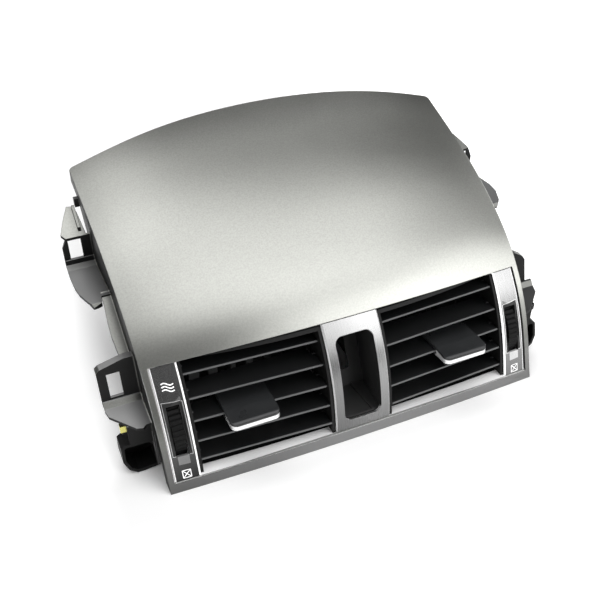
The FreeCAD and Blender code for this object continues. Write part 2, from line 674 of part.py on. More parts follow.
def duct_housing():
    """Right duct: box with a sloping rear roof, open at both ends"""
    outer = prism_x(duct_outline(DUCT_WALL), DUCT_INNER_X - DUCT_WALL, DUCT_OUTER_X + DUCT_WALL)
    inner = prism_x(duct_outline(0), DUCT_INNER_X, DUCT_OUTER_X)
    flange_x0, flange_x1 = DUCT_INNER_X - DUCT_WALL - FLANGE, DUCT_OUTER_X + DUCT_WALL + FLANGE
    flange = box(flange_x0, flange_x1, DUCT_END_Y - FLANGE_WALL, DUCT_END_Y, 0,
                 DUCT_REAR_ROOF_Z + DUCT_WALL + FLANGE)
    middle = (DUCT_INNER_X + DUCT_OUTER_X) / 2
    ribs = [box(x - RIB_WALL / 2, x + RIB_WALL / 2, RIB_FRONT_Y, DUCT_END_Y, 0, DUCT_FLOOR_Z - DUCT_WALL)
            for x in (DUCT_INNER_X + 2, middle, DUCT_OUTER_X - 2)]
    ears = []
    for x, y in screw_places():
        if x > 0:
            ears.append(box(x - EAR_WIDTH / 2, x + EAR_WIDTH / 2, ROOF_END_Y - 2, ROOF_END_Y + EAR_LENGTH,
                            DUCT_ROOF_Z, DUCT_ROOF_Z + DUCT_WALL))
    wheel_y, wheel_z = wheel_centre()
    axle = rod_x(AXLE_R, DUCT_OUTER_X, wheel_x()[1] + 1.0, wheel_y, wheel_z)
    shape = fused([outer, flange, axle] + ribs + ears)
    shape = shape.cut(inner)
    holes = []
    for y, z in vane_pivots():
        holes.append(rod_x(PIN_R + PIN_GAP, 0, DUCT_OUTER_X + DUCT_WALL, y, z))
    for x in side_vane_places():
        holes.append(rod_z(PIN_R + PIN_GAP, DUCT_FLOOR_Z - DUCT_WALL - 1, DUCT_ROOF_Z + DUCT_WALL + 1, x,
                           SIDE_VANE_Y))
    holes.append(rod_x(FLAP_SHAFT_R + PIN_GAP, 0, DUCT_OUTER_X + DUCT_WALL + 1, FLAP_Y, flap_z()))
    for x, y in screw_places():
        if x > 0:
            holes.append(rod_z(EAR_HOLE_R, DUCT_ROOF_Z - 1, DUCT_ROOF_Z + DUCT_WALL + 1, x, y))
    for hole in holes:
        shape = shape.cut(hole)
    front = slab(BIG / 8, -PANEL_WALL - END_GAP, -40, 110)
    ledge = ledge_band(LEDGE_DEPTH + END_GAP, -1, LEDGE_TOP_Z + END_GAP)
    return shape.cut(front).cut(ledge)


def duct_seal():
    """Foam frame on the rear flange"""
    x0, x1 = DUCT_INNER_X - DUCT_WALL - FLANGE + 0.5, DUCT_OUTER_X + DUCT_WALL + FLANGE - 0.5
    z0, z1 = 0.6, DUCT_REAR_ROOF_Z + DUCT_WALL + FLANGE - 0.5
    outer = box(x0, x1, DUCT_END_Y, DUCT_END_Y + SEAL_THICK, z0, z1)
    inner = box(x0 + SEAL_WIDTH, x1 - SEAL_WIDTH, DUCT_END_Y - 1, DUCT_END_Y + SEAL_THICK + 1,
                z0 + SEAL_WIDTH, z1 - SEAL_WIDTH)
    return outer.cut(inner)


def housing_screws():
    screws = []
    for x, y in screw_places():
        head = rod_z(SCREW_HEAD_R, DUCT_ROOF_Z - SCREW_HEAD, DUCT_ROOF_Z, x, y)
        shank = rod_z(SCREW_R, DUCT_ROOF_Z, DUCT_ROOF_Z + SCREW_LENGTH - 1, x, y)
        socket = rod_z(SCREW_R, DUCT_ROOF_Z - SCREW_HEAD, DUCT_ROOF_Z - SCREW_HEAD + 1.2, x, y)
        screws.append(head.fuse(shank).cut(socket).removeSplitter())
    return Part.makeCompound(screws)


# Horizontal vanes

def face_y_at(x, z, offset):
    """Y of the offset face at x and height z"""
    low, high = -BELOW_SILL, SIDE_LENGTH
    while high - low > 0.001:
        middle = (low + high) / 2
        if face_point(x / HALF_WIDTH, middle, offset).z < z:
            low = middle
        else:
            high = middle
    return face_point(x / HALF_WIDTH, low, offset).y


def vane_fronts():
    """Y, Z of each vane's front edge at its middle"""
    fronts = []
    for index in range(VANE_COUNT):
        z = VANE_FIRST_Z + VANE_PITCH * index
        recess = VANE_RECESS_LOW + (VANE_RECESS_HIGH - VANE_RECESS_LOW) * index / (VANE_COUNT - 1)
        fronts.append((face_y_at((DUCT_INNER_X + DUCT_OUTER_X) / 2, z, -recess), z))
    return fronts


def vane_pivots():
    turn = math.radians(VANE_TILT)
    return [(y + VANE_FRONT * math.cos(turn), z - VANE_FRONT * math.sin(turn)) for y, z in vane_fronts()]


def vane_cranks():
    turn = math.radians(VANE_TILT)
    return [(y + VANE_CRANK * math.cos(turn), z - VANE_CRANK * math.sin(turn)) for y, z in vane_pivots()]


def vane(index):
    """Flat vane drawn level about its pivot, its nose following the face, then tilted"""
    y, z = vane_pivots()[index]
    x0, x1 = DUCT_INNER_X + END_GAP, DUCT_OUTER_X - END_GAP
    noses = [y - VANE_FRONT - VANE_SKEW / 2, y - VANE_FRONT + VANE_SKEW / 2]
    blade = prism_z([(x0, noses[0]), (x1, noses[1]), (x1, y + VANE_REAR), (x0, y + VANE_REAR)],
                    z - VANE_WALL / 2, z + VANE_WALL / 2)
    nose_line = V(x1 - x0, noses[1] - noses[0], 0)
    nose_line.normalize()
    blade = rounded(blade, VANE_WALL * 0.45,
                    lambda e: runs_along(e, nose_line) and e.CenterOfMass.y < y)
    notch_x = x0 + VANE_NOTCH
    blade = blade.cut(box(x0 - 1, notch_x, y + PIN_R + NOTCH_WALL, y + VANE_REAR + 1, z - 5, z + 5))
    inner_pin = rod_x(PIN_R, x0 - PIN_LENGTH, x0 + 2, y, z)
    outer_pin = rod_x(PIN_R, x1 - 2, x1 + PIN_LENGTH, y, z)
    crank = rod_x(CRANK_R, x0 + 0.2, notch_x + 2, y + VANE_CRANK, z)
    return turned(fused([blade, inner_pin, outer_pin, crank]), -VANE_TILT, y, z)


def link_of(points, wall, width, eye, hole_r, x0):
    """Bar through Y, Z points with an eye at each"""
    pieces = [bar_between(a, b, width, x0, x0 + wall) for a, b in zip(points, points[1:])]
    bar = fused(pieces + [rod_x(eye / 2, x0, x0 + wall, y, z) for y, z in points])
    for y, z in points:
        bar = bar.cut(rod_x(hole_r, x0 - 1, x0 + wall + 1, y, z))
    return bar


def vane_link():
    x0 = DUCT_INNER_X + END_GAP + LINK_END_GAP
    return link_of(vane_cranks(), LINK_WALL, LINK_WIDTH, LINK_EYE, CRANK_R + PIN_GAP, x0)


# Knob

def knob_pivot():
    return vane_pivots()[VANE_COUNT // 2]


def knob_plan(inset, z0, z1):
    """Plan of the knob with round front corners"""
    y = knob_pivot()[0]
    half = KNOB_WIDTH / 2 - inset
    block = box(KNOB_X - half, KNOB_X + half, y - KNOB_NOSE + inset, y + KNOB_TAIL, z0, z1)
    radius = KNOB_CORNER_R - inset
    return rounded(block, radius, lambda e: runs_along(e, V(0, 0, 1)) and e.CenterOfMass.y < y)


def knob_trim_level():
    y, z = knob_pivot()
    band = knob_plan(0, z - KNOB_HALF_FRONT, z + KNOB_TRIM_TOP)
    core = knob_plan(KNOB_TRIM_WALL, z - 10, z + 10)
    ends = box(KNOB_X - KNOB_WIDTH, KNOB_X + KNOB_WIDTH, y - KNOB_TRIM_BACK, y + KNOB_TAIL + 5, z - 10, z + 10)
    return band.cut(core).cut(ends)


def knob_body():
    y, z = knob_pivot()
    side = [(y + KNOB_TAIL, z - KNOB_HALF), (y + KNOB_TAIL, z + KNOB_HALF), (y - VANE_FRONT, z + KNOB_HALF),
            (y - KNOB_NOSE + 2, z + KNOB_HALF_FRONT - 0.4), (y - KNOB_NOSE, z + KNOB_TRIM_TOP),
            (y - KNOB_NOSE, z - KNOB_HALF_FRONT), (y - VANE_FRONT, z - KNOB_HALF)]
    half = KNOB_WIDTH / 2
    body = prism_x(side, KNOB_X - half, KNOB_X + half).common(knob_plan(0, z - 10, z + 10))
    slot = box(KNOB_X - KNOB_WIDTH, KNOB_X + KNOB_WIDTH, y - KNOB_SLOT_FRONT, y + VANE_REAR + 0.4,
               z - VANE_WALL / 2 - KNOB_SLOT_GAP, z + VANE_WALL / 2 + KNOB_SLOT_GAP)
    tines = [box(KNOB_X + side_x, KNOB_X + side_x + FORK_WALL, y + KNOB_TAIL - 1, y + FORK_END,
                 z - FORK_HALF, z + FORK_HALF) for side_x in (-FORK_GAP - FORK_WALL, FORK_GAP)]
    body = fused([body] + tines).cut(slot).cut(knob_trim_level())
    return turned(body, -VANE_TILT, y, z)


def knob_trim():
    y, z = knob_pivot()
    return turned(knob_trim_level(), -VANE_TILT, y, z)


# Vertical vanes

def side_vane_places():
    return [KNOB_X + SIDE_VANE_PITCH * i for i in range(-SIDE_VANES_INWARD, SIDE_VANES_OUTWARD + 1)]


def side_vane(index):
    x = side_vane_places()[index]
    y = SIDE_VANE_Y
    low, high = DUCT_FLOOR_Z + SIDE_VANE_GAP, DUCT_ROOF_Z - SIDE_VANE_GAP
    half = SIDE_VANE_WALL / 2
    blade = box(x - half, x + half, y - SIDE_VANE_FRONT, y + SIDE_VANE_REAR, low, high)
    blade = rounded(blade, half * 0.8, lambda e: runs_along(e, V(0, 0, 1)))
    blade = blade.cut(box(x - 5, x + 5, y + SIDE_NOTCH, y + SIDE_VANE_REAR + 1, low - 1,
                          DUCT_FLOOR_Z + SIDE_NOTCH_HEIGHT))
    pieces = [blade,
              rod_z(PIN_R, low - PIN_LENGTH, low + 2, x, y),
              rod_z(PIN_R, high - 2, high + PIN_LENGTH, x, y),
              rod_z(CRANK_R, SIDE_LINK_Z - 1, DUCT_FLOOR_Z + SIDE_NOTCH_HEIGHT + 2, x, y + SIDE_CRANK)]
    if index == SIDE_VANES_INWARD:
        fork_z = knob_pivot()[1]
        bottom, top = fork_z - PEG_REACH_DOWN, fork_z + PEG_REACH_UP
        pieces.append(rod_z(PEG_R, bottom, top, x, y - PEG_RADIUS))
        for z in (bottom - PEG_ARM, top):
            pieces.append(box(x - half, x + half, y - PEG_RADIUS, y - SIDE_VANE_FRONT + 1, z, z + PEG_ARM))
            pieces.append(rod_z(PEG_R, z, z + PEG_ARM, x, y - PEG_RADIUS))
    return fused(pieces)


def side_vane_link():
    places = side_vane_places()
    y = SIDE_VANE_Y + SIDE_CRANK
    half = LINK_EYE / 2
    bar = fused([box(places[0], places[-1], y - half, y + half, SIDE_LINK_Z, SIDE_LINK_Z + LINK_WALL),
                 rod_z(half, SIDE_LINK_Z, SIDE_LINK_Z + LINK_WALL, places[0], y),
                 rod_z(half, SIDE_LINK_Z, SIDE_LINK_Z + LINK_WALL, places[-1], y)])
    for x in places:
        bar = bar.cut(rod_z(CRANK_R + PIN_GAP, 0, 20, x, y))
    return bar


# Thumbwheel, rod and damper flap

def wheel_x():
    return trim_mid_x() - WHEEL_WIDTH / 2, trim_mid_x() + WHEEL_WIDTH / 2


def rod_x_range():
    end = wheel_x()[0] - ROD_GAP
    return end - ROD_WALL, end


def crank_point(centre):
    turn = math.radians(CRANK_ANGLE)
    return centre[0] + CRANK_ARM * math.cos(turn), centre[1] + CRANK_ARM * math.sin(turn)


def thumbwheel():
    y, z = wheel_centre()
    x0, x1 = wheel_x()
    middle = (x0 + x1) / 2
    rim = []
    for index in range(WHEEL_RIBS):
        for share, radius in ((0.0, WHEEL_R), (0.5, WHEEL_R), (0.75, WHEEL_R - WHEEL_RIB)):
            turn = 2 * math.pi * (index + share) / WHEEL_RIBS
            rim.append((y + radius * math.cos(turn), z + radius * math.sin(turn)))
    wheel = prism_x(rim, x0, x1)
    hollow = rod_x(WHEEL_R - WHEEL_RIM, middle + WHEEL_WEB / 2, x1 + 1, y, z)
    hollow = hollow.fuse(rod_x(WHEEL_R - WHEEL_RIM, x0 - 1, middle - WHEEL_WEB / 2, y, z))
    wheel = wheel.cut(hollow)
    hub = rod_x(HUB_R, x0, x1, y, z)
    pin_y, pin_z = crank_point((y, z))
    pin = rod_x(ROD_PIN_R, rod_x_range()[0] - END_GAP, middle, pin_y, pin_z)
    pad = rod_x(ROD_EYE / 2, x0, middle, pin_y, pin_z)
    return fused([wheel, hub, pin, pad]).cut(rod_x(AXLE_R + PIN_GAP, x0 - 1, x1 + 1, y, z))


def flap_z():
    return (DUCT_FLOOR_Z + DUCT_REAR_ROOF_Z) / 2


def damper_flap():
    z = flap_z()
    x0, x1 = DUCT_INNER_X + FLAP_SIDE_GAP, DUCT_OUTER_X - FLAP_SIDE_GAP
    plate = box(x0, x1, FLAP_Y - FLAP_HALF, FLAP_Y + FLAP_HALF, z - FLAP_WALL / 2, z + FLAP_WALL / 2)
    shaft = rod_x(FLAP_SHAFT_R, DUCT_INNER_X - PIN_LENGTH, lever_x()[1], FLAP_Y, z)
    stiffeners = [box(x0 + (x1 - x0) * share - 1, x0 + (x1 - x0) * share + 1, FLAP_Y - FLAP_HALF * 0.7,
                      FLAP_Y + FLAP_HALF * 0.7, z - FLAP_WALL * 1.25, z + FLAP_WALL * 1.25)
                  for share in (0.25, 0.5, 0.75)]
    return fused([plate, shaft] + stiffeners)


def lever_x():
    start = rod_x_range()[1] + ROD_GAP
    return start, start + LEVER_WALL


def flap_lever():
    x0, x1 = lever_x()
    centre = (FLAP_Y, flap_z())
    tip = crank_point(centre)
    arm = bar_between(centre, tip, LEVER_WIDTH, x0, x1)
    pin = rod_x(ROD_PIN_R, rod_x_range()[0] - END_GAP, x1, *tip)
    return fused([arm, pin]).cut(rod_x(FLAP_SHAFT_R + 0.02, x0 - 1, x1 + 1, *centre))


def damper_rod():
    x0 = rod_x_range()[0]
    ends = [crank_point(wheel_centre()), crank_point((FLAP_Y, flap_z()))]
    return link_of(ends, ROD_WALL, ROD_WIDTH, ROD_EYE, ROD_PIN_R + PIN_GAP, x0)


# Spring clips on the brackets

def spring_clips():
    """Folded sheet clips, one on the outer edge of each lower bracket's rib"""
    reach = CLIP_GAP + CLIP_SHEET
    edge = HALF_WIDTH + CLIP_RIB_REACH
    outer = box(edge - CLIP_LENGTH, edge + reach, CLIP_RIB_Y - reach, CLIP_RIB_Y + BRACKET_WALL + reach,
                CLIP_Z, CLIP_Z + CLIP_WIDTH)
    inner = box(edge - CLIP_LENGTH - 1, edge + CLIP_GAP, CLIP_RIB_Y - CLIP_GAP,
                CLIP_RIB_Y + BRACKET_WALL + CLIP_GAP, CLIP_Z - 1, CLIP_Z + CLIP_WIDTH + 1)
    clip = outer.cut(inner)
    return Part.makeCompound([clip, mirrored(clip)])


def nodes():
    shapes = {"top_panel": top_panel(),
              "centre_trim_bar": centre_trim_bar(),
              "centre_pocket": centre_pocket(),
              "housing_screws": housing_screws(),
              "spring_clips": spring_clips()}
    right = {"trim_strip": trim_strip(),
             "duct_housing": duct_housing(),
             "duct_seal": duct_seal(),
             "vane_link": vane_link(),
             "knob": knob_body(),
             "knob_trim": knob_trim(),
             "side_vane_link": side_vane_link(),
             "thumbwheel": thumbwheel(),
             "damper_flap": damper_flap(),
             "flap_lever": flap_lever(),
             "damper_rod": damper_rod()}
    for index in range(VANE_COUNT):
        right["vane_%d" % (index + 1)] = vane(index)
    for index in range(len(side_vane_places())):
        right["side_vane_%d" % (index + 1)] = side_vane(index)
    for name, shape in right.items():
        shapes["right_" + name] = shape
        shapes["left_" + name] = mirrored(shape)
    return shapes


def middle_y(shapes):
    """Y of the whole part's middle"""
    boxes = [shapes[name].optimalBoundingBox() for name in ("top_panel", "right_knob", "right_knob_trim")]
    return (min(b.YMin for b in boxes) + max(b.YMax for b in boxes)) / 2


def main():
    os.makedirs("parts", exist_ok=True)
    shapes = nodes()
    shift = -middle_y(shapes)
    for name, shape in shapes.items():
        shape.translate(V(0, shift, 0))
        shape.exportStep("parts/%s.step" % name)
        print(name, len(shape.Solids), shape.isValid(), round(shape.Volume, 1))
    print("shift", round(shift, 3))


main()
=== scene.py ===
import math

import bpy
from mathutils import Matrix, Vector
from mathutils.bvhtree import BVHTree


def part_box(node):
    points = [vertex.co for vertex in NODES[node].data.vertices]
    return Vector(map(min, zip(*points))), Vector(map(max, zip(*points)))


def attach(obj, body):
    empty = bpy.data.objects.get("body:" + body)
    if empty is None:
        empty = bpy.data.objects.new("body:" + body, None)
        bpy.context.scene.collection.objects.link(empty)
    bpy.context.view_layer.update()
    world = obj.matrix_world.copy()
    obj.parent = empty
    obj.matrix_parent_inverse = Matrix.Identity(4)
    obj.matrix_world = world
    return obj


# Centre dash air vent panel. Metres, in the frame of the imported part.

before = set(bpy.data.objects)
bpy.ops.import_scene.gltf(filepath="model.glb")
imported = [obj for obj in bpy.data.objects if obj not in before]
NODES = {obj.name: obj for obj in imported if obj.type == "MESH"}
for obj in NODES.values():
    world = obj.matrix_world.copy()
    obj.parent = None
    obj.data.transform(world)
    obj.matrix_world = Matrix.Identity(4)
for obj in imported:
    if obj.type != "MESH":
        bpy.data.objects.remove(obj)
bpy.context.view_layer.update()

MM = 0.001


def linear(grey):
    """Linear value of an 8-bit grey"""
    share = grey / 255
    return share / 12.92 if share <= 0.04045 else ((share + 0.055) / 1.055) ** 2.4


def silver(grey):
    """Colour of an 8-bit grey with the paint's faint warmth"""
    value = linear(grey)
    return (value, value * 1.01, value * 0.95, 1)


def tint(grey, warm=0.0):
    """Colour of an 8-bit grey, redder as warm rises and bluer as it falls"""
    value = linear(grey)
    return (value * (1 + warm), value, value * (1 - warm), 1)


# Places on the trim strips; a dish is the recess round a thumbwheel
STRIP_MIDDLE = sum(c.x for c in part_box("right_trim_strip")) / 2
# The strips' shining edges, the light line round the dish and the lit end of the dish are painted
# highlights
EDGE_FROM = 0.0078            # a strip's shining edges start this far from its middle
DISH_MIDDLE = 0.0408
DISH_HALF_HEIGHT = 0.0168
DISH_HALF_WIDTH = 0.0063
RIM = 0.0004                  # light line round the dish
TAB_MIDDLE = 0.0206           # lit end of the dish, below the wheel
TAB_HALF_HEIGHT = 0.003
TAB_HALF_WIDTH = 0.0038


# Materials

def new_material(name):
    material = bpy.data.materials.new(name)
    material.use_nodes = True
    tree = material.node_tree
    return material, tree, tree.nodes["Principled BSDF"]


def noise(tree, scale, detail=2.0, rough=0.5):
    """Noise fixed to the piece, scale per metre"""
    place = tree.nodes.new("ShaderNodeTexCoord")
    texture = tree.nodes.new("ShaderNodeTexNoise")
    texture.inputs["Scale"].default_value = scale
    texture.inputs["Detail"].default_value = detail
    texture.inputs["Roughness"].default_value = rough
    tree.links.new(place.outputs["Object"], texture.inputs["Vector"])
    return texture


def spread(tree, source, low, high):
    """Maps a 0 to 1 value to low..high"""
    ranged = tree.nodes.new("ShaderNodeMapRange")
    ranged.inputs["To Min"].default_value = low
    ranged.inputs["To Max"].default_value = high
    tree.links.new(source, ranged.inputs["Value"])
    return ranged.outputs["Result"]


def bumped(tree, shader, source, strength, distance, edge=0.0):
    """Fine relief, over edges that shade as if rounded by the edge radius"""
    bump = tree.nodes.new("ShaderNodeBump")
    if edge:
        bevel = tree.nodes.new("ShaderNodeBevel")
        bevel.samples = 6
        bevel.inputs["Radius"].default_value = edge
        tree.links.new(bevel.outputs["Normal"], bump.inputs["Normal"])
    bump.inputs["Strength"].default_value = strength
    bump.inputs["Distance"].default_value = distance
    tree.links.new(source, bump.inputs["Height"])
    tree.links.new(bump.outputs["Normal"], shader.inputs["Normal"])


def mixed_grey(tree, shader, source, dark, light):
    """Base colour from dark to light as the source rises"""
    tree.links.new(blended(tree, source, dark, light), shader.inputs["Base Color"])


def normal_part(tree, axis):
    """Size of one part of the face's direction, and the part itself"""
    geometry = tree.nodes.new("ShaderNodeNewGeometry")
    split = tree.nodes.new("ShaderNodeSeparateXYZ")
    tree.links.new(geometry.outputs["True Normal"], split.inputs["Vector"])
    return combined(tree, "ABSOLUTE", split.outputs[axis], 0.0), split.outputs[axis]


def own_forward(tree):
    """Y part of the face's direction in the piece's own frame, which stays with a piece that turns"""
    place = tree.nodes.new("ShaderNodeTexCoord")
    split = tree.nodes.new("ShaderNodeSeparateXYZ")
    tree.links.new(place.outputs["Normal"], split.inputs["Vector"])
    return split.outputs["Y"]


def stepped(tree, source, low, high):
    """Rises smoothly from 0 at low to 1 at high"""
    ranged = tree.nodes.new("ShaderNodeMapRange")
    ranged.interpolation_type = "SMOOTHSTEP"
    ranged.inputs["From Min"].default_value = low
    ranged.inputs["From Max"].default_value = high
    tree.links.new(source, ranged.inputs["Value"])
    return ranged.outputs["Result"]


def combined(tree, operation, first, second):
    """Result of a sum or comparison of two values"""
    node = tree.nodes.new("ShaderNodeMath")
    node.operation = operation
    for socket, value in zip(node.inputs, (first, second)):
        if isinstance(value, (int, float)):
            socket.default_value = value
        else:
            tree.links.new(value, socket)
    return node.outputs["Value"]


def layered(tree, share, under, over):
    """Shader that turns from under to over as the share rises to 1"""
    mix = tree.nodes.new("ShaderNodeMixShader")
    tree.links.new(share, mix.inputs["Fac"])
    tree.links.new(under, mix.inputs[1])
    tree.links.new(over, mix.inputs[2])
    return mix.outputs["Shader"]


def place_part(tree, axis):
    """One part of the place, in metres"""
    place = tree.nodes.new("ShaderNodeTexCoord")
    split = tree.nodes.new("ShaderNodeSeparateXYZ")
    tree.links.new(place.outputs["Object"], split.inputs["Vector"])
    return split.outputs[axis]


def blended(tree, share, first, second):
    """Colour that turns from first to second as the share rises to 1"""
    mix = tree.nodes.new("ShaderNodeMix")
    mix.data_type = "RGBA"
    tree.links.new(share, mix.inputs["Factor"])
    for socket, value in ((mix.inputs["A"], first), (mix.inputs["B"], second)):
        if isinstance(value, tuple):
            socket.default_value = value
        else:
            tree.links.new(value, socket)
    return mix.outputs["Result"]


def smooth_up(tree):
    """Upward part of the smooth direction"""
    geometry = tree.nodes.new("ShaderNodeNewGeometry")
    split = tree.nodes.new("ShaderNodeSeparateXYZ")
    tree.links.new(geometry.outputs["Normal"], split.inputs["Vector"])
    return split.outputs["Z"]


def brushed(tree, scale, along):
    """Noise drawn out along one axis"""
    place = tree.nodes.new("ShaderNodeTexCoord")
    mapping = tree.nodes.new("ShaderNodeMapping")
    mapping.inputs["Scale"].default_value = [scale * (0.02 if axis in along else 1) for axis in "XYZ"]
    tree.links.new(place.outputs["Object"], mapping.inputs["Vector"])
    texture = tree.nodes.new("ShaderNodeTexNoise")
    texture.inputs["Scale"].default_value = 1.0
    texture.inputs["Detail"].default_value = 3.0
    tree.links.new(mapping.outputs["Vector"], texture.inputs["Vector"])
    return texture


def trim_paint(name, grey, rough, highlight_grey, forward_shade, shade_factor, tab=0.0):
    """Brushed silver trim, painted darker where it faces forwards as painted shade, with painted
    highlights on its slanted edges

    A strip has a painted highlight patch below its dish and painted shade low down, the bar has painted
    shade on its left.
    """
    material, tree, shader = new_material(name)
    grain = brushed(tree, 2400, "YZ")
    tones = []
    # Two tones; in each, faces that turn forwards are darker, as painted shade
    for level in (grey * shade_factor, grey):
        upper = blended(tree, grain.outputs["Fac"], tint(level - 12), tint(level + 10))
        forward_dark_tone = blended(tree, grain.outputs["Fac"], tint(level * forward_shade), tint(level * (forward_shade + 0.06)))
        tones.append(blended(tree, stepped(tree, smooth_up(tree), 0.2, 0.66), forward_dark_tone, upper))
    # The first, darker tone is painted shade low on a strip and on the bar's left
    if tab:
        lit_share = stepped(tree, place_part(tree, "Z"), 0.0, 0.05)
    else:
        lit_share = stepped(tree, place_part(tree, "X"), -0.02, 0.015)
    tree.links.new(blended(tree, lit_share, *tones), shader.inputs["Base Color"])
    shader.inputs["Metallic"].default_value = 0.85
    gloss = spread(tree, grain.outputs["Fac"], rough - 0.04, rough + 0.04)
    tree.links.new(gloss, shader.inputs["Roughness"])
    bumped(tree, shader, grain.outputs["Fac"], 0.02, 0.0002, 0.0005)
    # Painted highlight on the slanted edges, the edge band, the dish's rim and the tab below it; on the
    # strips it also glows a little
    painted_shine = tree.nodes.new("ShaderNodeBsdfPrincipled")
    painted_shine.inputs["Base Color"].default_value = tint(highlight_grey)
    painted_shine.inputs["Metallic"].default_value = 0.1
    painted_shine.inputs["Emission Color"].default_value = (1, 1, 1, 1)
    painted_shine.inputs["Emission Strength"].default_value = 0.3 if tab else 0.0
    fine = noise(tree, 1500, 2.0)
    tree.links.new(spread(tree, fine.outputs["Fac"], 0.24, 0.3), painted_shine.inputs["Roughness"])
    aside, _ = normal_part(tree, "X")
    slanted = combined(tree, "MULTIPLY", stepped(tree, aside, 0.3, 0.45),
                       combined(tree, "SUBTRACT", 1.0, stepped(tree, aside, 0.88, 0.95)))
    bare = tree.nodes.new("ShaderNodeBsdfPrincipled")
    mixed_grey(tree, bare, grain.outputs["Fac"], tint(18), tint(26))
    bare.inputs["Roughness"].default_value = 0.5
    dark = stepped(tree, aside, 0.95, 0.99)
    if tab:
        across = combined(tree, "ABSOLUTE", place_part(tree, "X"), 0.0)
        off_middle = combined(tree, "ABSOLUTE", combined(tree, "SUBTRACT", across, STRIP_MIDDLE), 0.0)
        edge = stepped(tree, off_middle, EDGE_FROM - 0.0002, EDGE_FROM)
        slanted = combined(tree, "MAXIMUM", slanted, edge)
        above = combined(tree, "SUBTRACT", place_part(tree, "Z"), DISH_MIDDLE)
        height = combined(tree, "ABSOLUTE", above, 0.0)
        near = combined(tree, "MULTIPLY", combined(tree, "LESS_THAN", off_middle, DISH_HALF_WIDTH),
                        combined(tree, "LESS_THAN", height, DISH_HALF_HEIGHT))
        dark = combined(tree, "MAXIMUM", dark, near)
        rim = combined(tree, "MULTIPLY", combined(tree, "LESS_THAN", off_middle, DISH_HALF_WIDTH + RIM),
                       combined(tree, "LESS_THAN", height, DISH_HALF_HEIGHT + RIM))
        slanted = combined(tree, "MAXIMUM", slanted, combined(tree, "MULTIPLY", rim, tab))
        below = combined(tree, "SUBTRACT", place_part(tree, "Z"), TAB_MIDDLE)
        below = combined(tree, "ABSOLUTE", below, 0.0)
        patch = combined(tree, "MULTIPLY", combined(tree, "LESS_THAN", off_middle, TAB_HALF_WIDTH),
                         combined(tree, "LESS_THAN", below, TAB_HALF_HEIGHT))
        slanted = combined(tree, "MAXIMUM", slanted, combined(tree, "MULTIPLY", patch, 1.3 * tab * tab))
    first = layered(tree, slanted, shader.outputs["BSDF"], painted_shine.outputs["BSDF"])
    both = layered(tree, dark, first, bare.outputs["BSDF"])
    tree.links.new(both, tree.nodes["Material Output"].inputs["Surface"])
    return material


def plastic(name, grey, rough=0.5, grain=0.15, scale=900, warm=0.0, specular=0.5, edge=0.0002):
    """Moulded plastic with a fine grain"""
    material, tree, shader = new_material(name)
    cloud = noise(tree, 90, 3.0)
    mixed_grey(tree, shader, cloud.outputs["Fac"], tint(grey * 0.85, warm), tint(grey * 1.12, warm))
    gloss = spread(tree, cloud.outputs["Fac"], rough - 0.06, rough + 0.06)
    tree.links.new(gloss, shader.inputs["Roughness"])
    shader.inputs["Specular IOR Level"].default_value = specular
    fine = noise(tree, scale, 2.0)
    bumped(tree, shader, fine.outputs["Fac"], grain, 0.0003, edge)
    return material


def metal(name, color, rough=0.25, scale=300):
    """Bare metal with a faint smear"""
    material, tree, shader = new_material(name)
    shader.inputs["Base Color"].default_value = color
    shader.inputs["Metallic"].default_value = 1.0
    smear = noise(tree, scale, 3.0)
    gloss = spread(tree, smear.outputs["Fac"], rough - 0.07, rough + 0.1)
    tree.links.new(gloss, shader.inputs["Roughness"])
    bumped(tree, shader, smear.outputs["Fac"], 0.05, 0.0002, 0.0003)
    return material


def lip_metal():
    """Bright metal lip whose upper part is painted dark, painted shade of the groove above it"""
    material, tree, shader = new_material("bright_trim")
    shader.inputs["Base Color"].default_value = (0.8, 0.8, 0.8, 1)
    shader.inputs["Metallic"].default_value = 0.6
    smear = noise(tree, 300, 3.0)
    tree.links.new(spread(tree, smear.outputs["Fac"], 0.12, 0.26), shader.inputs["Roughness"])
    dark = tree.nodes.new("ShaderNodeBsdfPrincipled")
    mixed_grey(tree, dark, smear.outputs["Fac"], tint(16), tint(28))
    dark.inputs["Roughness"].default_value = 0.35
    place = tree.nodes.new("ShaderNodeTexCoord")
    split = tree.nodes.new("ShaderNodeSeparateXYZ")
    tree.links.new(place.outputs["Generated"], split.inputs["Vector"])
    # Upper part painted dark: painted shade of the groove
    both = layered(tree, stepped(tree, split.outputs["Z"], 0.76, 0.82), shader.outputs["BSDF"],
                   dark.outputs["BSDF"])
    tree.links.new(both, tree.nodes["Material Output"].inputs["Surface"])
    return material


def housing_plastic():
    """Black moulding, painted a little paler on its rear half and where it faces to the rear, as painted
    light
    """
    material = plastic("duct_plastic", 10, rough=0.55, specular=0.3)
    tree = material.node_tree
    shader = tree.nodes["Principled BSDF"]
    front_tone = shader.inputs["Base Color"].links[0].from_socket
    # Paler rear: painted light
    rear_facing = stepped(tree, own_forward(tree), 0.3, 0.6)
    rear = combined(tree, "MAXIMUM", rear_facing, stepped(tree, place_part(tree, "Y"), -0.02, 0.02))
    tree.links.new(blended(tree, rear, front_tone, tint(44)), shader.inputs["Base Color"])
    return material


def clip_steel():
    """Yellow passivated spring steel on the left, oiled dark steel on the right"""
    material = metal("clip_steel", (0.72, 0.68, 0.22, 1))
    tree = material.node_tree
    on_right = combined(tree, "GREATER_THAN", place_part(tree, "X"), 0.0)
    tree.links.new(blended(tree, on_right, (0.72, 0.68, 0.22, 1), (0.05, 0.05, 0.05, 1)),
                   tree.nodes["Principled BSDF"].inputs["Base Color"])
    return material


